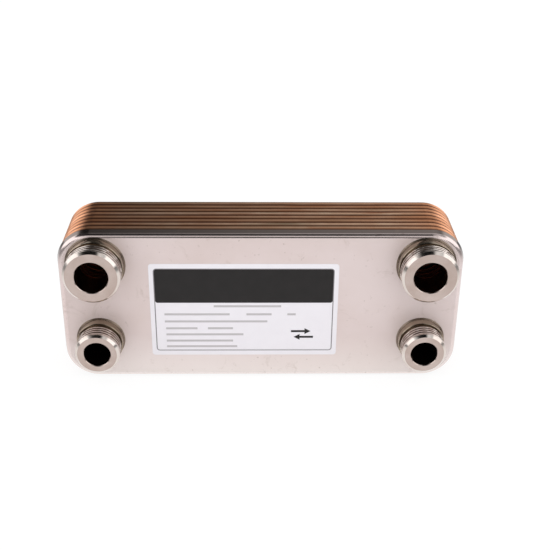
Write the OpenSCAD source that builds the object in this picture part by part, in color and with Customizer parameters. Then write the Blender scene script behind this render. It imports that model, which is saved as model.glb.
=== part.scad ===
// Brazed plate heat exchanger of the kind that heats tap water inside a combination boiler.
// Sixteen pressed channel plates nest between a front and a back cover, and copper seams join
// their flared skirts. Four threaded nipples stand on the front cover. It stands on a long edge:
// X runs along the length, Y from the nipples to the back and Z up, in millimetres, with the
// origin under the middle of the whole part.

/* [Outline] */
// Overall length across the free edge of the front cover
cover_length = 190; // [150:1:260]
// Overall height across the free edge of the front cover
cover_height = 78; // [64:1:110]
// Outline radius at the corners of the front cover
corner_radius = 16; // [12:0.5:22]

/* [Covers] */
// Sheet thickness of the front cover
cover_sheet = 1.2; // [0.8:0.1:1.6]
// Depth of the front cover from its face to its free edge
cover_skirt = 4.2; // [3.6:0.1:6]
// Sheet thickness of the back cover
back_sheet = 1; // [0.8:0.1:1.5]
// Depth of the back cover from its inner face to its free edge
back_skirt = 4.8; // [3:0.1:8]

/* [Channel plates] */
// Number of channel plates, in pairs
plate_count = 16; // [4:2:20]
// Distance from one channel plate to the next
plate_pitch = 2; // [1.6:0.05:2.6]
// Sheet thickness of a channel plate
plate_sheet = 0.4; // [0.3:0.05:0.5]
// Depth of the outer plate of a pair from its face to its free edge
plate_skirt = 7; // [6:0.1:9]
// Inside radius of the bend between a plate and its skirt
plate_bend = 0.6; // [0.5:0.1:1]

/* [Copper braze] */
// Thickness of the copper film between two skirts
braze_film = 0.1; // [0.05:0.01:0.15]
// Length of the copper bead along the skirt behind a free edge
braze_bead = 0.6; // [0.3:0.05:1]
// Leg of the copper fillet at the root of a nipple
root_fillet = 0.6; // [0.3:0.05:1]

/* [Herringbone] */
// Distance between two ridges, measured across them
ridge_pitch = 8; // [6:0.5:12]
// Width of the flat top of a ridge
ridge_top = 2; // [1.2:0.1:2.6]
// Angle between a ridge and the length of the plate
ridge_angle = 60; // [45:1:70]
// Flat land between the bend of a plate and its ridges
rim_land = 3; // [2:0.5:8]
// Flat land between the collar round a port and the ridges
port_land = 2; // [1:0.5:5]

/* [Ports] */
// Distance from the middle of a port to the nearer end of the overall outline
port_edge = 18; // [16.5:0.5:24]
// Distance from the upper ports to the top of the overall outline
port_top = 16.2; // [16:0.1:22]
// Distance from the lower ports to the bottom of the overall outline
port_bottom = 21.8; // [16:0.1:24]
// Diameter of the port holes in the channel plates
port_hole = 17; // [14:0.5:18]
// Width of the flat collar round a port hole
collar_land = 2.4; // [1.8:0.1:2.6]
// Wall of the seal rings between the front cover and the first plate
seal_wall = 2; // [1.2:0.1:2.4]

/* [Heating nipples] */
// Outer diameter of the thread
heating_thread = 26.44; // [20:0.01:30]
// Diameter of the plain collar at the root
heating_collar = 27; // [26.6:0.1:28]
// Diameter of the bore
heating_bore = 15.4; // [10:0.1:16]
// Height over the front cover
heating_height = 13.4; // [11:0.1:20]

/* [Tap water nipples] */
// Outer diameter of the thread
water_thread = 20.96; // [18:0.01:26]
// Diameter of the plain collar at the root
water_collar = 22; // [21.1:0.1:26]
// Diameter of the bore
water_bore = 12.5; // [8:0.1:13]
// Height over the front cover
water_height = 14.4; // [10:0.1:20]

/* [Nipple details] */
// Height of the plain collar over the front cover
collar_height = 4.6; // [3:0.1:6]
// Width of the run-out groove between collar and thread
groove_width = 1.2; // [0.8:0.1:1.6]
// Depth of the run-out groove under the thread
groove_depth = 1.2; // [0.8:0.1:1.6]
// Leg of the chamfer at the free end
end_chamfer = 1.2; // [0.5:0.1:2]
// Leg of the small chamfer at the mouth of the bore
mouth_chamfer = 0.3; // [0.1:0.1:0.6]
// Wall of the spigot that sits in the front cover
spigot_wall = 1.4; // [1:0.1:2]
// Gap between the spigot and its hole
spigot_gap = 0.05; // [0.02:0.01:0.15]

/* [Label] */
// Length of the sticker
label_length = 89; // [60:1:100]
// Height of the sticker
label_height = 49.5; // [20:0.5:52]
// Thickness of the sticker
label_sheet = 0.15; // [0.1:0.05:0.3]
// Radius of the sticker's corners
label_corner = 1.5; // [0.5:0.5:4]
// Place of the sticker's middle along the length
label_along = -8.1; // [-12:0.1:12]
// Place of the sticker's middle over the middle of the cover
label_up = -1.4; // [-4:0.1:4]

/* [Hidden] */
$fn = 96;
eps = 0.01;
bend_steps = 6;
skirt_angle = asin((plate_sheet + braze_film) / plate_pitch);
axis_x = cover_length / 2 - corner_radius;
axis_y = cover_height / 2 - corner_radius;
port_x = cover_length / 2 - port_edge;
upper_row = port_top - cover_height / 2;
lower_row = cover_height / 2 - port_bottom;
back_front = cover_sheet + plate_count * plate_pitch;
pack_depth = back_front + back_skirt;
nipple_reach = max(heating_height, water_height);
ridge_run = ridge_pitch / 2 - ridge_top;
flank_angle = atan2(plate_pitch, ridge_run);
flank_side = plate_sheet / sin(flank_angle);
collar_top = port_hole / 2 + collar_land;
collar_foot = collar_top + plate_pitch;
cover_bend = plate_bend + plate_sheet;
seal_ring_wall = min(seal_wall, collar_land - plate_sheet);

STEEL = [0.78, 0.75, 0.73];
PLATE = [0.62, 0.50, 0.42];
COPPER = [0.80, 0.46, 0.30];
PAPER = [0.93, 0.92, 0.93];

function two(k) = str(k < 10 ? "0" : "", k);
function plate_name(k) = str("channel_plate_", two(k));
function seam_name(k) = str("braze_seam_", two(k));

// Sheets count from 0, the front cover, over the channel plates to the back cover.
function is_odd(k) = k % 2 == 1;
function wall(k) = k == 0 ? cover_sheet : k > plate_count ? back_sheet : plate_sheet;
function face(k) = k == 0 ? 0 : cover_sheet + (k - 1) * plate_pitch;
function depth(k) = k == 0 ? cover_skirt : k > plate_count ? back_skirt
  : is_odd(k) ? plate_skirt : plate_skirt - plate_pitch;
function free_edge(k) = face(k) + depth(k);
function outer_bend(k) = (k == 0 ? cover_bend : plate_bend) + wall(k);

// Distance of a sheet's outer and inner skirt surface from the overall outline at depth z
function nest(k) = k == 0 ? 0
  : -(cover_sheet + braze_film) / cos(skirt_angle) - (k - 1) * plate_pitch * tan(skirt_angle);
function skirt_out(k, z) = nest(k) + (z - cover_skirt) * tan(skirt_angle);
function skirt_in(k, z) = skirt_out(k, z) - wall(k) / cos(skirt_angle);

// Depth and outline distance of the middle of a sheet's bend
function bend_z(k) = face(k) + outer_bend(k);
function bend_u(k) = skirt_out(k, bend_z(k)) - outer_bend(k) / cos(skirt_angle);

// The sheets lie in a frame with x along the length, y down and z to the back.
module stand() {
  translate([0, (nipple_reach - pack_depth) / 2, cover_height / 2])
    rotate([-90, 0, 0])
      children();
}

// Sweeps a profile, drawn outward from the corner axis, round the outline.
module round_outline() {
  for (side = [0, 180]) {
    rotate(side)
      translate([axis_x, 0, 0])
        rotate([90, 0, 0])
          linear_extrude(2 * axis_y, center = true)
            children();
    rotate(side + 90)
      translate([axis_y, 0, 0])
        rotate([90, 0, 0])
          linear_extrude(2 * axis_x, center = true)
            children();
    rotate(side)
      translate([axis_x, axis_y, 0])
        rotate_extrude(angle = 90)
          children();
    rotate(side)
      translate([-axis_x, axis_y, 0])
        rotate(90)
          rotate_extrude(angle = 90)
            children();
  }
}

// Rounded rectangle at a distance from the overall outline
module outline(u) {
  r = corner_radius + u;
  square([2 * axis_x + 2 * r, 2 * axis_y], center = true);
  square([2 * axis_x, 2 * axis_y + 2 * r], center = true);
  for (x = [-1, 1], y = [-1, 1])
    translate([x * axis_x, y * axis_y])
      circle(r);
}

// Points along the bend of sheet k at radius r, from its face round to its skirt
function bend_arc(k, r) = [for (i = [0:bend_steps])
  let (turn = -90 + (90 - skirt_angle) * i / bend_steps)
  [corner_radius + bend_u(k) + r * cos(turn), bend_z(k) + r * sin(turn)]];
function backwards(list) = [for (i = [len(list) - 1:-1:0]) list[i]];

// Bend and flared skirt of sheet k in section
module skirt_profile(k) {
  edge = free_edge(k);
  r = outer_bend(k);
  polygon(concat(
    bend_arc(k, r),
    [[corner_radius + skirt_out(k, edge), edge]],
    [[corner_radius + skirt_in(k, edge), edge]],
    backwards(bend_arc(k, r - wall(k)))
  ));
}

module skirt(k) {
  round_outline()
    skirt_profile(k);
}

module flat_sheet(k) {
  translate([0, 0, face(k)])
    linear_extrude(wall(k))
      outline(bend_u(k));
}

module at_ports(rows) {
  for (x = [-1, 1], y = rows)
    translate([x * port_x, y, 0])
      children();
}

// One half of the ridge field: half 0 is the upper side of the plate, half 1 the lower side
module ridge_field(half, inset) {
  high = cover_height / 2 + bend_u(1) - rim_land - inset;
  difference() {
    translate([-port_x, half == 0 ? -high : 0])
      square([2 * port_x, high]);
    at_ports([upper_row, lower_row])
      circle(collar_foot + port_land + inset);
    for (x = [-1, 1])
      translate([x * port_x, 0])
        square([2 * inset + eps, 3 * cover_height], center = true);
  }
}

// Zigzag section across the ridges, from a floor up to top, with its flanks drawn in by slim.
// The floor lies one braze film higher than the rim, so the film fits at each ridge crossing.
module ridge_rows(floor, top, slim) {
  count = ceil(cover_length / ridge_pitch);
  drop = (plate_pitch - floor) / tan(flank_angle);
  rise = (plate_pitch - top) / tan(flank_angle);
  foot = ridge_top / 2 + drop - slim;
  crest = ridge_top / 2 + rise - slim;
  zigzag = [for (i = [-count:count]) each [
    [i * ridge_pitch - foot, floor],
    [i * ridge_pitch - crest, top],
    [i * ridge_pitch + crest, top],
    [i * ridge_pitch + foot, floor]
  ]];
  far = (count + 1) * ridge_pitch;
  rotate(90 - ridge_angle)
    rotate([90, 0, 0])
      linear_extrude(2 * cover_length, center = true)
        polygon(concat([[-far, -1], [-far, floor]], zigzag, [[far, floor], [far, -1]]));
}

module ridges() {
  for (half = [0, 1])
    intersection() {
      mirror([0, half, 0])
        ridge_rows(plate_sheet + braze_film, plate_pitch, 0);
      linear_extrude(plate_pitch)
        ridge_field(half, 0);
    }
}

module ridge_hollows() {
  for (half = [0, 1])
    intersection() {
      mirror([0, half, 0])
        ridge_rows(braze_film, plate_pitch - plate_sheet, flank_side);
      translate([0, 0, -0.2])
        linear_extrude(plate_pitch + 0.2)
          ridge_field(half, plate_sheet);
    }
}

// Pressing of one channel plate: herringbone ridges and the two raised port collars of its circuit.
// The herringbone points the other way on every second plate, so the ridges cross.
module pressing(k) {
  lean = plate_sheet * (sqrt(2) - 1);
  turn = is_odd(k) ? 0 : 1;
  raised = [is_odd(k) ? upper_row : lower_row];
  translate([0, 0, face(k)])
    difference() {
      union() {
        linear_extrude(plate_sheet)
          outline(bend_u(k));
        mirror([turn, 0, 0])
          ridges();
        at_ports(raised)
          cylinder(h = plate_pitch, r1 = collar_foot, r2 = collar_top);
      }
      mirror([turn, 0, 0])
        ridge_hollows();
      at_ports(raised)
        translate([0, 0, -1])
          cylinder(
            h = plate_pitch - plate_sheet + 1,
            r1 = collar_top - lean + plate_pitch - plate_sheet + 1,
            r2 = collar_top - lean
          );
      if (k < plate_count)
        at_ports([upper_row, lower_row])
          translate([0, 0, -1])
            cylinder(h = plate_pitch + 2, d = port_hole);
    }
}

module front_cover() {
  color(STEEL)
    stand() {
      difference() {
        flat_sheet(0);
        at_ports([upper_row])
          translate([0, 0, -1])
            cylinder(h = cover_sheet + 2, d = heating_bore + 2 * (spigot_wall + spigot_gap));
        at_ports([lower_row])
          translate([0, 0, -1])
            cylinder(h = cover_sheet + 2, d = water_bore + 2 * (spigot_wall + spigot_gap));
      }
      skirt(0);
    }
}

module back_cover() {
  color(STEEL)
    stand() {
      flat_sheet(plate_count + 1);
      skirt(plate_count + 1);
    }
}

module channel_plate(k) {
  color(PLATE)
    stand() {
      pressing(k);
      skirt(k);
    }
}

// Copper between the skirts of sheets k - 1 and k, with a bead where the inner skirt runs on
module braze_seam(k) {
  start = bend_z(k);
  edge = free_edge(k - 1);
  runs_on = free_edge(k) > edge + eps;
  bead = runs_on ? braze_bead : 0;
  foot = runs_on ? min(braze_bead, plate_sheet) : 0;
  r = corner_radius;
  film = [
    [r + skirt_in(k - 1, start), start],
    [r + skirt_out(k, start), start],
    [r + skirt_out(k, edge + bead), edge + bead]
  ];
  outer = runs_on
    ? [[r + skirt_in(k - 1, edge) + foot, edge], [r + skirt_in(k - 1, edge), edge]]
    : [[r + skirt_in(k - 1, edge), edge]];
  color(COPPER)
    stand()
      round_outline()
        polygon(concat(film, outer));
}

// Turned nipple with spigot, plain collar, run-out groove and the thread as its outer cylinder
module nipple(side, row, thread, collar, bore, height) {
  spigot = bore / 2 + spigot_wall;
  neck = thread / 2 - groove_depth;
  thread_start = collar_height + groove_width;
  color(STEEL)
    stand()
      translate([side * port_x, row, 0])
        mirror([0, 0, 1])
          rotate_extrude()
            polygon([
              [bore / 2, -cover_sheet],
              [spigot, -cover_sheet],
              [spigot, 0],
              [collar / 2, 0],
              [collar / 2, collar_height],
              [neck, collar_height],
              [neck, thread_start],
              [thread / 2, thread_start + groove_depth * 0.5],
              [thread / 2, height - end_chamfer],
              [thread / 2 - end_chamfer, height],
              [bore / 2 + mouth_chamfer, height],
              [bore / 2, height - mouth_chamfer]
            ]);
}

module root_braze(side, row, collar) {
  color(COPPER)
    stand()
      translate([side * port_x, row, 0])
        mirror([0, 0, 1])
          rotate_extrude()
            polygon([
              [collar / 2, 0],
              [collar / 2 + root_fillet, 0],
              [collar / 2, root_fillet]
            ]);
}

module heating_flow_nipple() {
  nipple(-1, upper_row, heating_thread, heating_collar, heating_bore, heating_height);
}

module heating_return_nipple() {
  nipple(1, upper_row, heating_thread, heating_collar, heating_bore, heating_height);
}

module hot_water_nipple() {
  nipple(-1, lower_row, water_thread, water_collar, water_bore, water_height);
}

module cold_water_nipple() {
  nipple(1, lower_row, water_thread, water_collar, water_bore, water_height);
}

// Ring that fills the raised collar of the first plate against the front cover
module seal_ring(side) {
  color(STEEL)
    stand()
      translate([side * port_x, upper_row, cover_sheet])
        difference() {
          cylinder(h = plate_pitch - plate_sheet, d = port_hole + 2 * seal_ring_wall);
          translate([0, 0, -1])
            cylinder(h = plate_pitch + 2, d = port_hole);
        }
}

module left_seal_ring() {
  seal_ring(-1);
}

module right_seal_ring() {
  seal_ring(1);
}

module label() {
  long = label_length - 2 * label_corner;
  high = label_height - 2 * label_corner;
  color(PAPER)
    stand()
      translate([label_along, -label_up, -label_sheet])
        linear_extrude(label_sheet) {
          square([label_length, high], center = true);
          square([long, label_height], center = true);
          for (x = [-1, 1], y = [-1, 1])
            translate([x * long / 2, y * high / 2])
              circle(label_corner);
        }
}

front_cover();
back_cover();
for (k = [1:plate_count])
  channel_plate(k);
for (k = [1:plate_count + 1])
  braze_seam(k);
heating_flow_nipple();
heating_return_nipple();
hot_water_nipple();
cold_water_nipple();
root_braze(-1, upper_row, heating_collar);  // heating_flow_braze_ring
root_braze(1, upper_row, heating_collar);  // heating_return_braze_ring
root_braze(-1, lower_row, water_collar);  // hot_water_braze_ring
root_braze(1, lower_row, water_collar);  // cold_water_braze_ring
left_seal_ring();
right_seal_ring();
label();
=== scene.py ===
"""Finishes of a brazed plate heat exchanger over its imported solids."""

import math

import bmesh
import bpy
from bpy.props import FloatProperty, FloatVectorProperty, IntProperty, PointerProperty
from mathutils import Matrix, Vector


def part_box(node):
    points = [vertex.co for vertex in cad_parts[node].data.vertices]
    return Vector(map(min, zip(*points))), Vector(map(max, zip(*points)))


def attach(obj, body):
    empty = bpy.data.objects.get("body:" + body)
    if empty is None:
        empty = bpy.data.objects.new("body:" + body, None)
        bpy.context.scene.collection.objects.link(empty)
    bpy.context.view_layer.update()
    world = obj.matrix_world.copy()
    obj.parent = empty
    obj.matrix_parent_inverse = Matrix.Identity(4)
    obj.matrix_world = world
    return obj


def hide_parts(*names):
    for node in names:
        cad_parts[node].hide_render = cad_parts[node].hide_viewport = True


bl_info = {
    "name": "Brazed plate heat exchanger",
    "version": (1, 0, 0),
    "blender": (4, 5, 0),
    "location": "3D View > Sidebar > Exchanger",
    "description": "Builds the nipples, label print, finishes and stage of a plate heat exchanger",
    "category": "Object",
}

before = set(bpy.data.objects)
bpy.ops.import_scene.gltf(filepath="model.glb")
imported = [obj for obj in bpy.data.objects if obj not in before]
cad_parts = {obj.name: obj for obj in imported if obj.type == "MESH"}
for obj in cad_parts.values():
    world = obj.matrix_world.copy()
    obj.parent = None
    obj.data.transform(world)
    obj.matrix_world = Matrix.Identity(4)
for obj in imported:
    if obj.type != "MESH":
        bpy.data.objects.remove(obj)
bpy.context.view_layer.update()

MM = 0.001
BODY = "root"
NIPPLES = {
    "heating_flow_nipple": "heating",
    "heating_return_nipple": "heating",
    "hot_water_nipple": "water",
    "cold_water_nipple": "water",
}
COVER_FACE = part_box("front_cover")[0].y
# The first free edge of the skirts behind the face of the front cover, and the next ones from it
COVER_EDGE = 4.2 * MM
PAIR_PITCH = 4.0 * MM
BACK_SHEET = 1.0 * MM
LABEL_LOW, LABEL_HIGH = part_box("label")

# Nipples: wall of the spigot in the port, broken edges, and width of the faced ring at the end
SPIGOT_WALL = 1.4 * MM
COLLAR_EDGE = 0.25 * MM
BORE_EDGE = 0.3 * MM
FACED_RING = 2.5 * MM
# Thread: full 55 degree triangle and cut depth as shares of the pitch, flat share of a crest,
# rounding as a share of the depth, and mesh rows to a turn
FULL_TRIANGLE = 0.9605
THREAD_DEPTH = 0.32
CREST_FLAT = 0.45
ROUNDING = 0.12
THREAD_ROWS = 14
# Run of the worn turns from the free end, where it starts, and the least share of depth there
WORN_RUN = 3.5 * MM
WORN_START = 1.0 * MM
WORN_LEAST = 0.3
# Run-in of the first turn behind the groove, as a share of the pitch, and its least depth
RUN_IN = 0.6
RUN_IN_LEAST = 0.35
GROOVE_SLOPE = 2.0
# Share of the thread's depth below which the thread's roots carry painted shade
SHADE_LINE = 0.3
SHARP_ANGLE = math.radians(32)
BRIGHT, TINTED, PAINTED_ROOT_SHADE, FACED = range(4)

# Label print: corner radii, sink into the film, half height of a rule, arrow sizes
FRAME_CORNER = 1.6 * MM
BAND_CORNER = 1.1 * MM
INK_SINK = 0.002 * MM
RULE_HALF = 0.55 * MM
ARROW_LENGTH, ARROW_HEAD = 9.4 * MM, 2.9 * MM
ARROW_SHAFT_HALF, ARROW_HEAD_HALF = 0.55 * MM, 1.6 * MM
# Plain rules, in millimetres: drop below the band, then left end and length of each
RULES = (
    (1.9, ((28, 32),)),
    (6.3, ((4.5, 31), (43.5, 12), (63, 4))),
    (10.2, ((4.5, 49),)),
    (14.0, ((5, 15), (25, 12))),
    (17.4, ((5, 37),)),
    (20.9, ((5, 32),)),
    (24.1, ((5, 34),)),
)
# Arrows, in millimetres from the middle of the label: name, along, up and way
ARROWS = (
    ("label_arrow_right_print", 27.2, -11.5, 1),
    ("label_arrow_left_print", 28.5, -14.7, -1),
)

# Covers: lower zone of the face that carries painted light, from its upper end, and where the
# furnace film and painted shade of the skirt start and are full behind the face
PAINTED_LIGHT_HIGH, PAINTED_LIGHT_LOW = 24 * MM, 2 * MM
FILM_SHADE_START, FILM_SHADE_FULL = 1.2 * MM, 1.9 * MM
BEND_START = 0.05 * MM
# Where the copper starts to gather on the skirts and is full, from the middle of the length
GATHER_START, GATHER_FULL = 66 * MM, 82 * MM
# Sizes of the patterns, in millimetres; three numbers are along X, Y and Z
CLOUD, SMUDGE, SPECK = 38, 11, 3
ROLLED_LINE = (30, 30, 0.5)
COPPER_RUN, COPPER_GRAIN = 14, 1.2
COPPER_STREAK = (45, 3, 12)
RIPPLE, TARNISH = 3, 18
TOOL_RING, TURNED_FILM = 0.35, 9
FILM_MOTTLE, PAPER_GRAIN = 6, 2

NOISE = "ShaderNodeTexNoise"
RANGE = "ShaderNodeMapRange"
MATH = "ShaderNodeMath"
MIX = "ShaderNodeMix"
BUMP = "ShaderNodeBump"
SURFACE = "ShaderNodeBsdfPrincipled"
OUTPUT = "ShaderNodeOutputMaterial"
# A wave texture's scale counts about a twentieth of a noise texture's.
WAVE_UNIT = 20
# Sockets of a colour mix
LOW, HIGH, MIXED = 6, 7, 2


def linear(hex_colour):
    """Linear RGBA of an sRGB hex colour."""
    out = []
    for i in (1, 3, 5):
        c = int(hex_colour[i : i + 2], 16) / 255
        out.append(c / 12.92 if c <= 0.04045 else ((c + 0.055) / 1.055) ** 2.4)
    return (*out, 1.0)


def add_node(tree, kind, inputs=None, **settings):
    """Adds one node; each input is a value, a hex colour, another node or one of its sockets."""
    node = tree.nodes.new(kind)
    for key, value in settings.items():
        setattr(node, key, value)
    for key, value in (inputs or {}).items():
        if isinstance(value, bpy.types.Node):
            tree.links.new(value.outputs[0], node.inputs[key])
        elif isinstance(value, bpy.types.NodeSocket):
            tree.links.new(value, node.inputs[key])
        else:
            node.inputs[key].default_value = linear(value) if isinstance(value, str) else value
    return node


def new_material(name):
    """An empty node material, its tree and the object coordinates, which are the part's own."""
    material = bpy.data.materials.new(name)
    material.use_nodes = True
    tree = material.node_tree
    tree.nodes.clear()
    return material, tree, add_node(tree, "ShaderNodeTexCoord").outputs["Object"]


def per_mm(size_mm):
    """Texture scale, in metre coordinates, for features of a size in millimetres."""
    return 1 / (size_mm * MM)


def stainless_cover(name, face, light, stained, film):
    """Stainless steel sheet, bright annealed, then heated in the brazing furnace.

    A soft satin face with a faint warm tint, cloudy furnace stains, smudges and specks, painted
    light toward its lower edge, and a polished bend that catches a thin line of light; on the
    front cover the skirt's film is also painted shade.
    """
    material, tree, place = new_material(name)
    axes = add_node(tree, "ShaderNodeSeparateXYZ", {0: place})
    clouds = add_node(
        tree,
        NOISE,
        {"Vector": place, "Scale": per_mm(CLOUD), "Detail": 4.0, "Roughness": 0.55},
    )
    specks = add_node(
        tree,
        NOISE,
        {"Vector": place, "Scale": per_mm(SPECK), "Detail": 2.0, "Roughness": 0.6},
    )
    # Rolling lines are some hundredths of a millimetre apart; drawn 0.5 mm apart so that they show.
    lines = add_node(
        tree,
        "ShaderNodeMapping",
        {"Vector": place, "Scale": [per_mm(size) for size in ROLLED_LINE]},
    )
    rolling = add_node(tree, NOISE, {"Vector": lines, "Scale": 1.0, "Detail": 2.0})
    stain = add_node(tree, RANGE, {"Value": clouds, "From Min": 0.38, "From Max": 0.72})
    tint = add_node(tree, MIX, {0: stain, LOW: light, HIGH: stained}, data_type="RGBA")
    # Painted light: the face is lighter toward its lower edge, a painted reflection of the bright
    # floor near it.
    painted_light = add_node(
        tree,
        RANGE,
        {
            "Value": axes.outputs["Z"],
            "From Min": PAINTED_LIGHT_HIGH,
            "From Max": PAINTED_LIGHT_LOW,
            "To Max": 0.8,
        },
    )
    tint = add_node(
        tree,
        MIX,
        {0: painted_light, LOW: tint.outputs[MIXED], HIGH: "#F2E9E5"},
        data_type="RGBA",
    )
    # The skirt, behind the bend, keeps a darker furnace film; on the front cover its dark colour is
    # also painted shade, standing in for the skirt's dark reflection.
    film_and_shade = add_node(
        tree,
        RANGE,
        {
            "Value": axes.outputs["Y"],
            "From Min": face + FILM_SHADE_START,
            "From Max": face + FILM_SHADE_FULL,
            "To Max": 0.85,
        },
    )
    tint = add_node(
        tree,
        MIX,
        {0: film_and_shade, LOW: tint.outputs[MIXED], HIGH: film},
        data_type="RGBA",
    )
    spot = add_node(
        tree,
        RANGE,
        {"Value": specks, "From Min": 0.67, "From Max": 0.79, "To Max": 0.5},
    )
    colour = add_node(
        tree,
        MIX,
        {0: spot, LOW: tint.outputs[MIXED], HIGH: "#8F7B6E"},
        data_type="RGBA",
    )
    # Handling left faint grey smudges some millimetres wide.
    smudges = add_node(
        tree,
        NOISE,
        {
            "Vector": place,
            "Scale": per_mm(SMUDGE),
            "Detail": 6.0,
            "Roughness": 0.72,
            "Distortion": 0.7,
        },
    )
    smudged = add_node(
        tree,
        RANGE,
        {"Value": smudges, "From Min": 0.58, "From Max": 0.78, "To Max": 0.5},
    )
    colour = add_node(
        tree,
        MIX,
        {0: smudged, LOW: colour.outputs[MIXED], HIGH: "#A99688"},
        data_type="RGBA",
    )
    # The oxide film scatters on the flat face; the die has polished the bend and the skirt.
    drawn = add_node(
        tree,
        RANGE,
        {"Value": axes.outputs["Y"], "From Min": face, "From Max": face + BEND_START},
    )
    rough = add_node(tree, RANGE, {"Value": drawn, "To Min": 0.5, "To Max": 0.18})
    metal = add_node(tree, RANGE, {"Value": drawn, "To Min": 0.3, "To Max": 1.0})
    relief = add_node(tree, BUMP, {"Height": rolling, "Strength": 0.06, "Distance": 0.05 * MM})
    shader = add_node(
        tree,
        SURFACE,
        {
            "Base Color": colour.outputs[MIXED],
            "Metallic": metal,
            "Roughness": rough,
            "Normal": relief,
        },
    )
    add_node(tree, OUTPUT, {"Surface": shader})
    return material


def coppered_skirt(dark, light, ends):
    """Stainless plate sheet whose skirt was wetted by melted copper in the furnace.

    Brown satin metal with streaks along its length, brighter copper where the melt ran and grey
    steel where it didn't, and painted shade at the root of each pair of skirts.
    """
    material, tree, place = new_material("stainless_sheet_wetted_by_braze_copper")
    axes = add_node(tree, "ShaderNodeSeparateXYZ", {0: place})
    runs = add_node(
        tree,
        NOISE,
        {"Vector": place, "Scale": per_mm(COPPER_RUN), "Detail": 4.0, "Roughness": 0.6},
    )
    grain = add_node(tree, NOISE, {"Vector": place, "Scale": per_mm(COPPER_GRAIN), "Detail": 2.0})
    wetted = add_node(tree, RANGE, {"Value": runs, "From Min": 0.3, "From Max": 0.7})
    colour = add_node(tree, MIX, {0: wetted, LOW: dark, HIGH: light}, data_type="RGBA")
    bare = add_node(
        tree,
        RANGE,
        {"Value": grain, "From Min": 0.62, "From Max": 0.74, "To Max": 0.3},
    )
    colour = add_node(
        tree,
        MIX,
        {0: bare, LOW: colour.outputs[MIXED], HIGH: "#DCC9B8"},
        data_type="RGBA",
    )
    # The melt drew streaks along the skirts, some red and some drab.
    stretched = add_node(
        tree,
        "ShaderNodeMapping",
        {"Vector": place, "Scale": [per_mm(size) for size in COPPER_STREAK]},
    )
    streaks = add_node(tree, NOISE, {"Vector": stretched, "Scale": 1.0, "Detail": 3.0})
    for low, high, streak in ((0.5, 0.68, "#B06A42"), (0.48, 0.32, "#94836A")):
        streaked = add_node(
            tree,
            RANGE,
            {"Value": streaks, "From Min": low, "From Max": high, "To Max": 0.75},
        )
        colour = add_node(
            tree,
            MIX,
            {0: streaked, LOW: colour.outputs[MIXED], HIGH: streak},
            data_type="RGBA",
        )
    # More copper gathered at the two ends than along the sides.
    aside = add_node(tree, MATH, {0: axes.outputs["X"]}, operation="ABSOLUTE")
    gathered = add_node(
        tree,
        RANGE,
        {"Value": aside, "From Min": GATHER_START, "From Max": GATHER_FULL, "To Max": 0.9},
    )
    colour = add_node(
        tree,
        MIX,
        {0: gathered, LOW: colour.outputs[MIXED], HIGH: ends},
        data_type="RGBA",
    )
    # Each pair of skirts took its own tint in the furnace.
    turn = add_node(
        tree,
        MATH,
        {
            0: axes.outputs["Y"],
            1: 1 / PAIR_PITCH,
            2: -(COVER_FACE + COVER_EDGE) / PAIR_PITCH,
        },
        operation="MULTIPLY_ADD",
    )
    pair = add_node(tree, MATH, {0: turn}, operation="FLOOR")
    chance = add_node(tree, "ShaderNodeTexWhiteNoise", {"W": pair}, noise_dimensions="1D")
    share = add_node(tree, RANGE, {"Value": chance, "To Max": 0.6})
    colour = add_node(
        tree,
        MIX,
        {0: share, LOW: colour.outputs[MIXED], HIGH: "#B8784F"},
        data_type="RGBA",
    )
    # Painted shade: each pair is dark toward its root, where the skirt in front shades it, and
    # keeps its copper colour at its free edge.
    along = add_node(tree, MATH, {0: turn}, operation="FRACT")
    root = add_node(
        tree,
        RANGE,
        {"Value": along, "From Min": 0.5, "From Max": 0.8, "To Min": 0.95, "To Max": 0.0},
        interpolation_type="SMOOTHSTEP",
    )
    colour = add_node(
        tree,
        MIX,
        {0: root, LOW: colour.outputs[MIXED], HIGH: "#5C3521"},
        data_type="RGBA",
    )
    rough = add_node(tree, RANGE, {"Value": grain, "To Min": 0.26, "To Max": 0.4})
    relief = add_node(tree, BUMP, {"Height": grain, "Strength": 0.15, "Distance": 0.08 * MM})
    shader = add_node(
        tree,
        SURFACE,
        {
            "Base Color": colour.outputs[MIXED],
            "Metallic": 1.0,
            "Roughness": rough,
            "Normal": relief,
        },
    )
    add_node(tree, OUTPUT, {"Surface": shader})
    return material


def braze_copper(name, light, dark, rough_low, rough_high):
    """Copper that melted and froze in the joint: smooth, rippled and a little darkened."""
    material, tree, place = new_material(name)
    ripple = add_node(tree, NOISE, {"Vector": place, "Scale": per_mm(RIPPLE), "Detail": 3.0})
    tarnish = add_node(tree, NOISE, {"Vector": place, "Scale": per_mm(TARNISH), "Detail": 3.0})
    shade = add_node(tree, RANGE, {"Value": tarnish, "From Min": 0.35, "From Max": 0.65})
    colour = add_node(tree, MIX, {0: shade, LOW: light, HIGH: dark}, data_type="RGBA")
    rough = add_node(tree, RANGE, {"Value": ripple, "To Min": rough_low, "To Max": rough_high})
    relief = add_node(tree, BUMP, {"Height": ripple, "Strength": 0.25, "Distance": 0.1 * MM})
    shader = add_node(
        tree,
        SURFACE,
        {
            "Base Color": colour.outputs[MIXED],
            "Metallic": 1.0,
            "Roughness": rough,
            "Normal": relief,
        },
    )
    add_node(tree, OUTPUT, {"Surface": shader})
    return material


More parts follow.
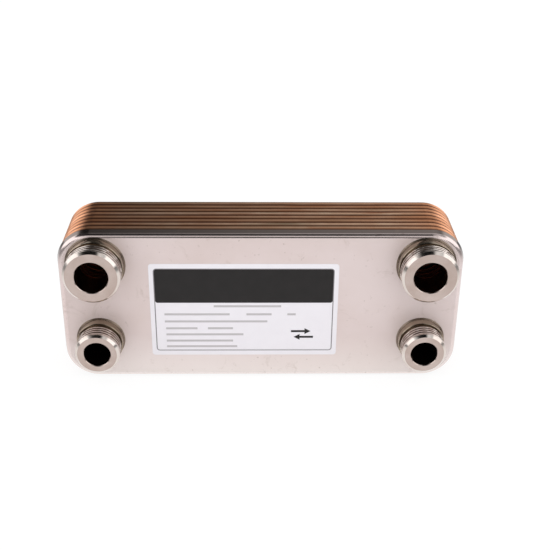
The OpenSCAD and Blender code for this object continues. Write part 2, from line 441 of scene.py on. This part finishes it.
def turned_stainless(name, light, dark, rough_low, rough_high):
    """Free-cutting stainless steel turned on a lathe: bright, with fine tool rings round the axis.

    The rings follow Y, the axis of every nipple; tool feed is 0.1 mm, drawn 0.35 mm wide so that
    it shows.
    """
    material, tree, place = new_material(name)
    rings = add_node(
        tree,
        "ShaderNodeTexWave",
        {
            "Vector": place,
            "Scale": per_mm(TOOL_RING) / WAVE_UNIT,
            "Distortion": 0.6,
            "Detail": 1.0,
        },
        wave_type="BANDS",
        bands_direction="Y",
    )
    film = add_node(tree, NOISE, {"Vector": place, "Scale": per_mm(TURNED_FILM), "Detail": 3.0})
    shade = add_node(tree, RANGE, {"Value": film, "From Min": 0.35, "From Max": 0.68})
    colour = add_node(tree, MIX, {0: shade, LOW: light, HIGH: dark}, data_type="RGBA")
    rough = add_node(tree, RANGE, {"Value": film, "To Min": rough_low, "To Max": rough_high})
    relief = add_node(tree, BUMP, {"Height": rings, "Strength": 0.05, "Distance": 0.04 * MM})
    shader = add_node(
        tree,
        SURFACE,
        {
            "Base Color": colour.outputs[MIXED],
            "Metallic": 1.0,
            "Roughness": rough,
            "Normal": relief,
        },
    )
    add_node(tree, OUTPUT, {"Surface": shader})
    return material


def printed_film(name, colour, mottled, roughness, gloss):
    """Polyester label film, cast, or the ink printed on it: even, satin and faintly mottled."""
    material, tree, place = new_material(name)
    mottle = add_node(tree, NOISE, {"Vector": place, "Scale": per_mm(FILM_MOTTLE), "Detail": 3.0})
    shade = add_node(tree, MIX, {0: mottle, LOW: colour, HIGH: mottled}, data_type="RGBA")
    relief = add_node(tree, BUMP, {"Height": mottle, "Strength": 0.08, "Distance": 0.05 * MM})
    shader = add_node(
        tree,
        SURFACE,
        {
            "Base Color": shade.outputs[MIXED],
            "Roughness": roughness,
            "IOR": 1.57,
            "Specular IOR Level": gloss,
            "Normal": relief,
        },
    )
    add_node(tree, OUTPUT, {"Surface": shader})
    return material


def set_material(node, material):
    """Gives a CAD node one material in every slot."""
    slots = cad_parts[node].data.materials
    if not slots:
        slots.append(material)
    for i in range(len(slots)):
        slots[i] = material


def mesh_object(name, verts, faces, materials, face_material=None, smooth_angle=None):
    """A mesh object in the row frame, riding on the body."""
    mesh = bpy.data.meshes.new(name)
    mesh.from_pydata(verts, [], faces)
    for material in materials:
        mesh.materials.append(material)
    if face_material:
        mesh.polygons.foreach_set("material_index", face_material)
    work = bmesh.new()
    work.from_mesh(mesh)
    bmesh.ops.recalc_face_normals(work, faces=work.faces)
    work.to_mesh(mesh)
    work.free()
    if smooth_angle is not None:
        mesh.polygons.foreach_set("use_smooth", [True] * len(mesh.polygons))
        mesh.set_sharp_from_angle(angle=smooth_angle)
    obj = bpy.data.objects.new(name, mesh)
    bpy.context.scene.collection.objects.link(obj)
    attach(obj, BODY)
    return obj


def thread_depth(turn, pitch, depth):
    """Depth below the crest of a 55 degree pipe thread with flattened crests, at a turn."""
    soft = ROUNDING * depth

    def round_off(x):
        return 0.5 * (x + math.sqrt(x * x + soft * soft))

    flank = FULL_TRIANGLE * pitch * (abs(2 * (turn % 1) - 1) - CREST_FLAT)
    return depth - round_off(depth - round_off(flank))


class ExchangerFinishSettings(bpy.types.PropertyGroup):
    """Colours of steel, copper and film."""

    cover_steel: FloatVectorProperty(
        name="Cover steel",
        description="Clean steel of the covers",
        default=linear("#E2D3D1"),
        subtype="COLOR",
        size=4,
    )
    cover_stain: FloatVectorProperty(
        name="Cover stain",
        description="Furnace stain on the covers",
        default=linear("#DAC9C5"),
        subtype="COLOR",
        size=4,
    )
    # Partly furnace film and partly painted shade: the front skirt's dark reflection painted into
    # its colour.
    front_film_and_shade: FloatVectorProperty(
        name="Front film",
        description="Furnace film on the skirt of the front cover",
        default=linear("#645A54"),
        subtype="COLOR",
        size=4,
    )
    back_film: FloatVectorProperty(
        name="Back film",
        description="Furnace film on the skirt of the back cover",
        default=linear("#A3968E"),
        subtype="COLOR",
        size=4,
    )
    copper_thin: FloatVectorProperty(
        name="Thin copper",
        description="Plate skirts where little copper ran",
        default=linear("#E2B191"),
        subtype="COLOR",
        size=4,
    )
    copper_thick: FloatVectorProperty(
        name="Thick copper",
        description="Plate skirts where much copper ran",
        default=linear("#F5D3B5"),
        subtype="COLOR",
        size=4,
    )
    copper_ends: FloatVectorProperty(
        name="Copper ends",
        description="Plate skirts at the two ends",
        default=linear("#EBA67C"),
        subtype="COLOR",
        size=4,
    )
    seam: FloatVectorProperty(
        name="Seam",
        description="Copper of the braze seams",
        default=linear("#E3A27C"),
        subtype="COLOR",
        size=4,
    )
    fillet: FloatVectorProperty(
        name="Fillet",
        description="Thin copper at the root of a nipple",
        default=linear("#84766A"),
        subtype="COLOR",
        size=4,
    )
    nipple: FloatVectorProperty(
        name="Nipple",
        description="Turned steel of thread and chamfer",
        default=linear("#E2D9D3"),
        subtype="COLOR",
        size=4,
    )
    collar: FloatVectorProperty(
        name="Collar",
        description="Turned steel of the collar, washed by copper",
        default=linear("#A99B8A"),
        subtype="COLOR",
        size=4,
    )
    nipple_end: FloatVectorProperty(
        name="Nipple end",
        description="Faced end of a nipple, tinted in the furnace",
        default=linear("#C4B4AD"),
        subtype="COLOR",
        size=4,
    )


class ExchangerNippleSettings(bpy.types.PropertyGroup):
    """Sizes of the nipples."""

    heating_thread: FloatProperty(
        name="Heating thread",
        description="Outer diameter of the heating threads",
        default=26.44 * MM,
        unit="LENGTH",
        precision=5,
    )
    water_thread: FloatProperty(
        name="Water thread",
        description="Outer diameter of the tap water threads",
        default=20.96 * MM,
        unit="LENGTH",
        precision=5,
    )
    heating_bore: FloatProperty(
        name="Heating bore",
        description="Bore of the heating nipples",
        default=15.4 * MM,
        unit="LENGTH",
        precision=5,
    )
    water_bore: FloatProperty(
        name="Water bore",
        description="Bore of the tap water nipples",
        default=12.5 * MM,
        unit="LENGTH",
        precision=5,
    )
    collar_height: FloatProperty(
        name="Collar height",
        description="Height of the plain collar over the front cover",
        default=4.6 * MM,
        unit="LENGTH",
        precision=5,
    )
    groove_width: FloatProperty(
        name="Groove width",
        description="Width of the run-out groove between collar and thread",
        default=1.2 * MM,
        unit="LENGTH",
        precision=5,
    )
    groove_depth: FloatProperty(
        name="Groove depth",
        description="Depth of the run-out groove under the thread",
        default=1.2 * MM,
        unit="LENGTH",
        precision=5,
    )
    end_chamfer: FloatProperty(
        name="End chamfer",
        description="Leg of the chamfer at the free end",
        default=1.2 * MM,
        unit="LENGTH",
        precision=5,
    )
    pitch: FloatProperty(
        name="Thread pitch",
        description="Advance of the thread in one turn, 14 turns to the inch",
        default=25.4 / 14 * MM,
        unit="LENGTH",
        precision=5,
    )
    sides: IntProperty(
        name="Sides",
        description="Facets round a nipple",
        default=144,
        min=24,
    )


class ExchangerLabelSettings(bpy.types.PropertyGroup):
    """Sizes and colours of the label's plain print."""

    margin_side: FloatProperty(
        name="Side margin",
        description="Distance from the label's edge to the printed frame, left and right",
        default=2.1 * MM,
        unit="LENGTH",
        precision=5,
    )
    margin_top: FloatProperty(
        name="Top margin",
        description="Distance from the label's edge to the printed frame, top and bottom",
        default=2.4 * MM,
        unit="LENGTH",
        precision=5,
    )
    band_height: FloatProperty(
        name="Band height",
        description="Height of the dark band at the top of the print",
        default=18.2 * MM,
        unit="LENGTH",
        precision=5,
    )
    line: FloatProperty(
        name="Line",
        description="Width of the printed frame line",
        default=0.45 * MM,
        unit="LENGTH",
        precision=5,
    )
    ink: FloatProperty(
        name="Ink",
        description="Thickness of the print over the film",
        default=0.02 * MM,
        unit="LENGTH",
        precision=6,
    )
    film_colour: FloatVectorProperty(
        name="Film colour",
        description="White of the label film",
        default=linear("#F0EDF2"),
        subtype="COLOR",
        size=4,
    )
    dark_ink: FloatVectorProperty(
        name="Dark ink",
        description="Ink of band and arrows",
        default=linear("#1E1C1C"),
        subtype="COLOR",
        size=4,
    )
    line_ink: FloatVectorProperty(
        name="Line ink",
        description="Ink of the printed frame line",
        default=linear("#757074"),
        subtype="COLOR",
        size=4,
    )
    grey_ink: FloatVectorProperty(
        name="Grey ink",
        description="Ink of the plain rules",
        default=linear("#B9B4B7"),
        subtype="COLOR",
        size=4,
    )


class ExchangerStageSettings(bpy.types.PropertyGroup):
    """Camera, light and floor."""

    camera_place: FloatVectorProperty(
        name="Camera place",
        description="Place of the camera in the row frame",
        default=(-0.003247, -0.418594, 0.269991),
        subtype="TRANSLATION",
        size=3,
    )
    elevation: FloatProperty(
        name="Elevation",
        description="How far the camera looks down",
        default=math.radians(27.68),
        subtype="ANGLE",
    )
    heading: FloatProperty(
        name="Heading",
        description="Turn of the camera to the right of straight ahead",
        default=math.radians(1.36),
        subtype="ANGLE",
    )
    roll: FloatProperty(
        name="Roll",
        description="Turn of the camera about its own axis",
        default=math.radians(0.64),
        subtype="ANGLE",
    )
    lens: FloatProperty(
        name="Lens",
        description="Focal length on a 36 mm sensor, in millimetres",
        default=64.38,
        unit="CAMERA",
    )
    floor_colour: FloatVectorProperty(
        name="Floor colour",
        description="Paper colour of floor and backdrop",
        default=linear("#FAFAFA"),
        subtype="COLOR",
        size=4,
    )
    floor_glow: FloatProperty(
        name="Floor glow",
        description="Brightness of the lit paper to the eye",
        default=1.04,
    )
    floor_share: FloatProperty(
        name="Floor share",
        description="Share of the paper's brightness that takes no shadow",
        default=0.85,
        subtype="FACTOR",
    )
    world_level: FloatProperty(
        name="World level",
        description="Strength of the even light from the room",
        default=0.94,
    )
    cards: FloatProperty(
        name="Cards",
        description="Brightness of the lit cards left and right in reflections",
        default=1.5,
    )
    screen: FloatProperty(
        name="Screen",
        description="Brightness of the pale screen over the camera in reflections",
        default=0.8,
    )
    panel: FloatProperty(
        name="Panel",
        description="Brightness of the lit panel high on the right in reflections",
        default=0.9,
    )
    ceiling_left: FloatProperty(
        name="Ceiling left",
        description="Brightness of the left side of the ceiling in reflections",
        default=0.03,
    )
    ceiling_right: FloatProperty(
        name="Ceiling right",
        description="Brightness of the right side of the ceiling in reflections",
        default=0.78,
    )


class EXCHANGER_OT_sheets(bpy.types.Operator):
    """Give the covers, channel plates and seal rings their finishes"""

    bl_idname = "exchanger.sheets"
    bl_label = "Finish covers and plates"

    def execute(self, context):
        finish = context.scene.exchanger_finish
        steel = (finish.cover_steel, finish.cover_stain)
        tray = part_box("back_cover")[0].y + BACK_SHEET
        front = stainless_cover(
            "stainless_sheet_bright_annealed", COVER_FACE, *steel, finish.front_film_and_shade
        )
        back = stainless_cover(
            "stainless_sheet_bright_annealed_back", tray, *steel, finish.back_film
        )
        skirt = coppered_skirt(finish.copper_thin, finish.copper_thick, finish.copper_ends)
        set_material("front_cover", front)
        set_material("back_cover", back)
        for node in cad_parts:
            if node.startswith("channel_plate_") or node.endswith("_seal_ring"):
                set_material(node, skirt)
        return {"FINISHED"}


class EXCHANGER_OT_copper(bpy.types.Operator):
    """Give the braze seams and nipple fillets their copper"""

    bl_idname = "exchanger.copper"
    bl_label = "Finish braze copper"

    def execute(self, context):
        finish = context.scene.exchanger_finish
        seam = braze_copper("copper_braze_frozen", finish.seam, "#BE8160", 0.24, 0.4)
        fillet = braze_copper("copper_fillet_thin", finish.fillet, "#6C5E52", 0.22, 0.34)
        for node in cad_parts:
            if node.startswith("braze_seam_"):
                set_material(node, seam)
            elif node.endswith("_braze_ring"):
                set_material(node, fillet)
        return {"FINISHED"}


class EXCHANGER_OT_nipples(bpy.types.Operator):
    """Build the four turned nipples with their pipe threads"""

    bl_idname = "exchanger.nipples"
    bl_label = "Build nipples"

    def execute(self, context):
        finish = context.scene.exchanger_finish
        # In the order of BRIGHT, TINTED, the painted shade of the thread roots, and FACED
        materials = [
            turned_stainless(name, light, dark, rough_low, rough_high)
            for name, light, dark, rough_low, rough_high in (
                ("stainless_turned_bright", finish.nipple, "#D5C9C1", 0.1, 0.18),
                ("stainless_turned_copper_washed", finish.collar, "#8E806F", 0.14, 0.22),
                # Painted shade: the dark finish of the thread roots
                ("stainless_thread_root_painted_shade", "#54443A", "#43352D", 0.26, 0.36),
                ("stainless_faced_furnace_tinted", finish.nipple_end, "#B8A69D", 0.14, 0.22),
            )
        ]
        for node, kind in NIPPLES.items():
            self.build(context.scene.exchanger_nipples, node, kind, materials)
        return {"FINISHED"}

    def build(self, settings, node, kind, materials):
        """Builds one nipple in place of its CAD node."""
        low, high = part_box(node)
        thread = getattr(settings, kind + "_thread") / 2
        bore = getattr(settings, kind + "_bore") / 2
        height = COVER_FACE - low.y
        rings = self.profile(
            settings, bore, (high.x - low.x) / 2, thread, height, high.y - COVER_FACE
        )
        sides = settings.sides
        centre_x, centre_z = (low.x + high.x) / 2, (low.z + high.z) / 2
        verts, radii = [], []
        for j in range(sides):
            angle = 2 * math.pi * j / sides
            for radius, along, _ in rings:
                if radius is None:
                    radius = self.thread_radius(settings, thread, height, along, j / sides)
                radii.append(radius)
                verts.append(
                    (
                        centre_x + radius * math.cos(angle),
                        COVER_FACE - along,
                        centre_z + radius * math.sin(angle),
                    )
                )
        shade_radius = thread - SHADE_LINE * THREAD_DEPTH * settings.pitch
        chamfer_start = height - settings.end_chamfer - settings.pitch / THREAD_ROWS
        faces, kinds = [], []
        n = len(rings)
        for j in range(sides):
            k = (j + 1) % sides
            for i in range(n):
                m = (i + 1) % n
                corners = (j * n + i, j * n + m, k * n + m, k * n + i)
                faces.append(corners)
                in_thread = rings[i][0] is None and rings[m][0] is None
                # Painted shade: the thread's roots below the shade line take the dark finish,
                # except in the end chamfer.
                if in_thread and min(radii[c] for c in corners) < shade_radius:
                    kinds.append(PAINTED_ROOT_SHADE if rings[i][1] < chamfer_start else BRIGHT)
                else:
                    kinds.append(rings[i][2] if i < n - 1 else TINTED)
        name = node.replace("_nipple", "_threaded_nipple")
        piece = mesh_object(name, verts, faces, materials, kinds, SHARP_ANGLE)
        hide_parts(node)

    def profile(self, settings, bore, collar, thread, height, seat):
        """Rings from the spigot to the bore: radius, place along the axis and finish.

        A ring of the thread has no radius of its own.
        """
        neck = thread - settings.groove_depth
        spigot = bore + SPIGOT_WALL
        top = settings.collar_height
        start = top + settings.groove_width
        rows = int((height - start) / (settings.pitch / THREAD_ROWS))
        rings = [
            (bore, -seat, TINTED),
            (spigot, -seat, TINTED),
            (spigot, 0.0, TINTED),
            (collar, 0.0, TINTED),
            (collar, top - COLLAR_EDGE, TINTED),
            (collar - COLLAR_EDGE, top, TINTED),
            (neck, top, BRIGHT),
            (neck, start, BRIGHT),
        ]
        rings += [(None, start + i * (height - start) / rows, BRIGHT) for i in range(1, rows)]
        rings += [
            (None, height, FACED),
            (bore + FACED_RING, height, FACED),
            (bore + BORE_EDGE, height, FACED),
            (bore, height - BORE_EDGE, TINTED),
        ]
        return rings

    def thread_radius(self, settings, thread, height, along, share):
        """Radius of the thread at a place along the axis and a share of a turn."""
        pitch = settings.pitch
        neck = thread - settings.groove_depth
        start = settings.collar_height + settings.groove_width
        run_in = max(min(1.0, (along - start) / (RUN_IN * pitch)), RUN_IN_LEAST)
        # The first turns from the free end are worn shallow.
        worn = min(1.0, max(WORN_LEAST, (height - along - WORN_START) / WORN_RUN))
        depth = thread_depth(along / pitch - share, pitch, THREAD_DEPTH * pitch)
        groove_side = neck + (along - start) * GROOVE_SLOPE
        chamfer = thread - settings.end_chamfer + (height - along)
        return max(min(thread - depth * run_in * worn, groove_side, chamfer), neck)


class EXCHANGER_OT_label(bpy.types.Operator):
    """Give the label its film and a plain print: band, frame, rules and two flow arrows"""

    bl_idname = "exchanger.label"
    bl_label = "Finish label"

    def execute(self, context):
        settings = context.scene.exchanger_label
        film = printed_film(
            "polyester_film_white_printed", settings.film_colour, "#EAE6EC", 0.42, 0.5
        )
        dark = printed_film("printing_ink_black_satin", settings.dark_ink, "#282525", 0.5, 0.2)
        thin = printed_film("printing_ink_thin_satin", settings.line_ink, "#817C80", 0.5, 0.3)
        grey = printed_film("printing_ink_grey_matte", settings.grey_ink, "#C2BDC0", 0.5, 0.5)
        set_material("label", film)
        x0, x1 = LABEL_LOW.x + settings.margin_side, LABEL_HIGH.x - settings.margin_side
        z0, z1 = LABEL_LOW.z + settings.margin_top, LABEL_HIGH.z - settings.margin_top
        depth = (LABEL_LOW.y - settings.ink, LABEL_LOW.y + INK_SINK)
        line = settings.line
        outer = self.rounded(x0, z0, x1, z1, FRAME_CORNER)
        inner = self.rounded(x0 + line, z0 + line, x1 - line, z1 - line, FRAME_CORNER - line)
        self.ring("label_frame_print", outer, inner, depth, thin)
        band_low = z1 - settings.band_height
        band = self.rounded(x0 + line, band_low, x1 - line, z1 - line, BAND_CORNER)
        self.slabs("label_band_print", [band], depth, dark)
        rules = []
        for drop, bars in RULES:
            low, high = (band_low - drop * MM + side * RULE_HALF for side in (-1, 1))
            for left, length in bars:
                near, far = x0 + left * MM, x0 + (left + length) * MM
                rules.append([(near, low), (far, low), (far, high), (near, high)])
        self.slabs("label_rule_print", rules, depth, grey)
        middle_x = (LABEL_LOW.x + LABEL_HIGH.x) / 2
        middle_z = (LABEL_LOW.z + LABEL_HIGH.z) / 2
        for name, along, up, way in ARROWS:
            points = self.arrow(middle_x + along * MM, middle_z + up * MM, way)
            self.slabs(name, [points], depth, dark)
        return {"FINISHED"}

    def rounded(self, x0, z0, x1, z1, radius, steps=6):
        """Outline of a rectangle with rounded corners."""
        centres = (
            (x1 - radius, z1 - radius),
            (x0 + radius, z1 - radius),
            (x0 + radius, z0 + radius),
            (x1 - radius, z0 + radius),
        )
        points = []
        for corner, (x, z) in enumerate(centres):
            for i in range(steps + 1):
                angle = math.radians(90 * (corner + i / steps))
                points.append((x + radius * math.cos(angle), z + radius * math.sin(angle)))
        return points

    def arrow(self, x, z, way):
        """Outline of an arrow that points right or left."""
        half = ARROW_LENGTH / 2
        neck = half - ARROW_HEAD
        points = (
            (-half, -ARROW_SHAFT_HALF),
            (neck, -ARROW_SHAFT_HALF),
            (neck, -ARROW_HEAD_HALF),
            (half, 0),
            (neck, ARROW_HEAD_HALF),
            (neck, ARROW_SHAFT_HALF),
            (-half, ARROW_SHAFT_HALF),
        )
        return [(x + way * px, z + pz) for px, pz in points]

    def slabs(self, name, outlines, depth, material):
        """Flat closed slabs of ink, one to an outline, as one piece."""
        verts, faces = [], []
        for points in outlines:
            n, b = len(points), len(verts)
            verts += [(x, y, z) for y in depth for x, z in points]
            faces += [tuple(range(b, b + n)), tuple(range(b + 2 * n - 1, b + n - 1, -1))]
            for i in range(n):
                k = (i + 1) % n
                faces.append((b + i, b + k, b + n + k, b + n + i))
        mesh_object(name, verts, faces, [material])

    def ring(self, name, outer, inner, depth, material):
        """A closed line of ink between two outlines."""
        n = len(outer)
        verts = [(x, y, z) for y in depth for loop in (outer, inner) for x, z in loop]
        faces = []
        for i in range(n):
            k = (i + 1) % n
            faces += [(i, k, n + k, n + i), (2 * n + i, 3 * n + i, 3 * n + k, 2 * n + k)]
            faces += [(i, 2 * n + i, 2 * n + k, k), (n + i, n + k, 3 * n + k, 3 * n + i)]
        mesh_object(name, verts, faces, [material])


class EXCHANGER_OT_stage(bpy.types.Operator):
    """Build the floor with its backdrop, the lamps, the room light and the camera"""

    bl_idname = "exchanger.stage"
    bl_label = "Build stage"

    # Radius of the flat floor, and radius and height of its raised edge, in metres
    FLOOR_FLAT, FLOOR_REACH, FLOOR_RISE, FLOOR_SIDES = 2.4, 3.0, 0.12, 64
    # Name, place, width, depth and watts of each lamp
    LAMPS = (
        ("lamp_left", (-0.75, 0.1, 0.34), 0.5, 0.4, 1.2),
        ("lamp_right", (0.75, 0.1, 0.38), 0.5, 0.4, 1.4),
        ("lamp_front", (0.0, -0.55, 0.8), 0.9, 0.3, 0.8),
    )
    LAMP_AIM = Vector((0, 0, 0.04))
    SENSOR_WIDTH = 36
    CLIP_START = 0.01

    def execute(self, context):
        settings = context.scene.exchanger_stage
        self.floor(context.scene, settings)
        self.room(context.scene, settings)
        for lamp in self.LAMPS:
            self.lamp(context.scene, *lamp)
        self.camera(context.scene, settings)
        context.scene.view_settings.view_transform = "Standard"
        return {"FINISHED"}

    def floor(self, scene, settings):
        """White matte paper: a disc with a raised edge, lit evenly to the eye and to metal."""
        material, tree, place = new_material("paper_backdrop_white")
        grain = add_node(tree, NOISE, {"Scale": per_mm(PAPER_GRAIN), "Detail": 2.0})
        relief = add_node(tree, BUMP, {"Height": grain, "Strength": 0.02, "Distance": 0.1 * MM})
        matte = add_node(
            tree,
            "ShaderNodeBsdfDiffuse",
            {"Color": settings.floor_colour, "Normal": relief},
        )
        path = add_node(tree, "ShaderNodeLightPath")
        to_eye = path.outputs["Is Camera Ray"]
        # In reflections the lit paper ends at arm's length.
        span = add_node(tree, "ShaderNodeVectorMath", {0: place}, operation="LENGTH")
        near = add_node(
            tree,
            RANGE,
            {
                "Value": span.outputs["Value"],
                "From Min": 0.18,
                "From Max": 0.5,
                "To Min": settings.floor_glow,
                "To Max": 0.2,
            },
        )
        white = add_node(tree, MATH, {0: to_eye, 1: settings.floor_glow}, operation="MULTIPLY")
        shine = add_node(tree, MATH, {0: near, 1: white}, operation="MAXIMUM")
        glow = add_node(tree, "ShaderNodeEmission", {"Strength": shine})
        seen = to_eye
        for ray in ("Is Glossy Ray", "Is Transmission Ray"):
            seen = add_node(tree, MATH, {0: seen, 1: path.outputs[ray]}, operation="MAXIMUM")
        share = add_node(tree, MATH, {0: seen, 1: settings.floor_share}, operation="MULTIPLY")
        mix = add_node(tree, "ShaderNodeMixShader", {0: share, 1: matte, 2: glow})
        add_node(tree, OUTPUT, {"Surface": mix})
        sides = self.FLOOR_SIDES
        verts, faces = [(0.0, 0.0, 0.0)], []
        for radius, height in ((self.FLOOR_FLAT, 0.0), (self.FLOOR_REACH, self.FLOOR_RISE)):
            for i in range(sides):
                angle = 2 * math.pi * i / sides
                verts.append((radius * math.cos(angle), radius * math.sin(angle), height))
        for i in range(sides):
            a, b = 1 + i, 1 + (i + 1) % sides
            faces += [(0, a, b), (a, a + sides, b + sides, b)]
        mesh = bpy.data.meshes.new("paper_floor")
        mesh.from_pydata(verts, [], faces)
        mesh.materials.append(material)
        obj = bpy.data.objects.new("paper_floor", mesh)
        scene.collection.objects.link(obj)

    def room(self, scene, settings):
        """A white room to the eye, even light to matte surfaces, and a studio to metal."""
        world = bpy.data.worlds.new("studio_room")
        world.use_nodes = True
        tree = world.node_tree
        tree.nodes.clear()
        way = add_node(tree, "ShaderNodeTexCoord").outputs["Generated"]
        right, away, up = add_node(tree, "ShaderNodeSeparateXYZ", {0: way}).outputs
        # White cards stand left and right, taller at the far sides; in front they clear the floor.
        aside = add_node(tree, MATH, {0: right}, operation="ABSOLUTE")
        beside = add_node(tree, RANGE, {"Value": aside, "From Min": 0.14, "From Max": 0.34})
        behind = add_node(tree, RANGE, {"Value": away, "From Min": -0.2, "From Max": 0.2})
        clear = add_node(tree, RANGE, {"Value": up, "From Min": 0.05, "From Max": 0.15})
        lifted = add_node(tree, MATH, {0: behind, 1: clear}, operation="MAXIMUM")
        height = add_node(
            tree,
            RANGE,
            {"Value": aside, "From Max": 0.8, "To Min": 0.24, "To Max": 0.7},
        )
        over = add_node(tree, MATH, {0: up, 1: height}, operation="SUBTRACT")
        inside = add_node(
            tree,
            RANGE,
            {"Value": over, "From Min": 0.02, "From Max": 0.14, "To Min": 1.0, "To Max": 0.0},
        )
        mirrored = add_node(tree, MATH, {0: beside, 1: inside}, operation="MULTIPLY")
        for factor in (lifted, settings.cards):
            mirrored = add_node(tree, MATH, {0: mirrored, 1: factor}, operation="MULTIPLY")
        # A pale screen hangs over the camera, above a dark strip at the horizon.
        screen = add_node(
            tree,
            RANGE,
            {
                "Value": away,
                "From Min": -0.4,
                "From Max": -0.1,
                "To Min": settings.screen,
                "To Max": 0.0,
            },
        )
        above = add_node(tree, RANGE, {"Value": up, "From Min": 0.3, "From Max": 0.42})
        below = add_node(
            tree,
            RANGE,
            {"Value": up, "From Min": 0.66, "From Max": 0.8, "To Min": 1.0, "To Max": 0.0},
        )
        for factor in (above, below):
            screen = add_node(tree, MATH, {0: screen, 1: factor}, operation="MULTIPLY")
        # The ceiling is grey, and brighter to the right.
        ceiling = add_node(
            tree,
            RANGE,
            {
                "Value": right,
                "From Min": -0.22,
                "From Max": 0.22,
                "To Min": settings.ceiling_left,
                "To Max": settings.ceiling_right,
            },
        )
        overhead = add_node(
            tree,
            RANGE,
            {"Value": up, "From Min": 0.5, "From Max": 0.8, "To Min": 0.15},
        )
        back = add_node(tree, RANGE, {"Value": away, "From Min": -0.05, "From Max": 0.35})
        for factor in (overhead, back):
            ceiling = add_node(tree, MATH, {0: ceiling, 1: factor}, operation="MULTIPLY")
        # A lit panel hangs in front, high on the right.
        panel = add_node(
            tree,
            RANGE,
            {
                "Value": right,
                "From Min": 0.2,
                "From Max": 0.34,
                "To Max": settings.panel,
            },
        )
        front = add_node(
            tree,
            RANGE,
            {"Value": away, "From Min": -0.15, "From Max": 0.1, "To Min": 1.0, "To Max": 0.0},
        )
        for factor in (overhead, front):
            panel = add_node(tree, MATH, {0: panel, 1: factor}, operation="MULTIPLY")
        for part in (screen, ceiling, panel):
            mirrored = add_node(tree, MATH, {0: mirrored, 1: part}, operation="MAXIMUM")
        path = add_node(tree, "ShaderNodeLightPath")
        rays = (path.outputs["Is Glossy Ray"], path.outputs["Is Transmission Ray"])
        glossy = add_node(tree, MATH, {0: rays[0], 1: rays[1]}, operation="MAXIMUM")
        # Light that metal throws on to a matte surface comes from the even room.
        direct = add_node(
            tree,
            RANGE,
            {"Value": path.outputs["Diffuse Depth"], "To Min": 1.0, "To Max": 0.0},
        )
        glossy = add_node(tree, MATH, {0: glossy, 1: direct}, operation="MULTIPLY")
        level = add_node(tree, MIX, {0: glossy, 2: settings.world_level, 3: mirrored})
        shown = add_node(
            tree,
            MATH,
            {0: level, 1: path.outputs["Is Camera Ray"]},
            operation="MAXIMUM",
        )
        light = add_node(tree, "ShaderNodeBackground", {"Color": "#FFFFFF", "Strength": shown})
        add_node(tree, "ShaderNodeOutputWorld", {"Surface": light})
        scene.world = world

    def lamp(self, scene, name, place, width, depth, watts):
        """A soft rectangular lamp aimed at the part."""
        data = bpy.data.lights.new(name, "AREA")
        data.shape = "RECTANGLE"
        data.size, data.size_y = width, depth
        data.energy = watts
        obj = bpy.data.objects.new(name, data)
        scene.collection.objects.link(obj)
        obj.location = place
        obj.rotation_euler = (self.LAMP_AIM - Vector(place)).to_track_quat("-Z", "Y").to_euler()
        # The room's cards stand for the lamps in reflections.
        obj.visible_glossy = False

    def camera(self, scene, settings):
        """The camera at the photograph's viewing angle."""
        down, heading, roll = settings.elevation, settings.heading, settings.roll
        ahead = Vector(
            (
                math.sin(heading) * math.cos(down),
                math.cos(heading) * math.cos(down),
                -math.sin(down),
            )
        )
        right = Vector((math.cos(heading), -math.sin(heading), 0))
        up = right.cross(ahead)
        across = right * math.cos(roll) + up * math.sin(roll)
        above = up * math.cos(roll) - right * math.sin(roll)
        data = bpy.data.cameras.new("camera")
        data.sensor_width = self.SENSOR_WIDTH
        data.lens = settings.lens
        data.clip_start = self.CLIP_START
        obj = bpy.data.objects.new("camera", data)
        scene.collection.objects.link(obj)
        turn = Matrix((across, above, -ahead)).transposed().to_4x4()
        obj.matrix_world = Matrix.Translation(settings.camera_place) @ turn
        scene.camera = obj


class EXCHANGER_PT_panel(bpy.types.Panel):
    """Lists the steps that finish the exchanger"""

    bl_idname = "EXCHANGER_PT_panel"
    bl_label = "Plate heat exchanger"
    bl_space_type = "VIEW_3D"
    bl_region_type = "UI"
    bl_category = "Exchanger"

    def draw(self, context):
        for step in STEPS:
            self.layout.operator(step.bl_idname)


SETTINGS = {
    "exchanger_finish": ExchangerFinishSettings,
    "exchanger_nipples": ExchangerNippleSettings,
    "exchanger_label": ExchangerLabelSettings,
    "exchanger_stage": ExchangerStageSettings,
}
STEPS = (
    EXCHANGER_OT_sheets,
    EXCHANGER_OT_copper,
    EXCHANGER_OT_nipples,
    EXCHANGER_OT_label,
    EXCHANGER_OT_stage,
)


def register():
    """Registers the settings, the steps and the panel."""
    for name, group in SETTINGS.items():
        bpy.utils.register_class(group)
        setattr(bpy.types.Scene, name, PointerProperty(type=group))
    for item in (*STEPS, EXCHANGER_PT_panel):
        bpy.utils.register_class(item)


def unregister():
    """Removes them again."""
    for item in (EXCHANGER_PT_panel, *reversed(STEPS)):
        bpy.utils.unregister_class(item)
    for name, group in SETTINGS.items():
        delattr(bpy.types.Scene, name)
        bpy.utils.unregister_class(group)


def main():
    """Registers the steps and runs them in order."""
    register()
    bpy.ops.exchanger.sheets()
    bpy.ops.exchanger.copper()
    bpy.ops.exchanger.nipples()
    bpy.ops.exchanger.label()
    bpy.ops.exchanger.stage()


if __name__ == "__main__":
    main()
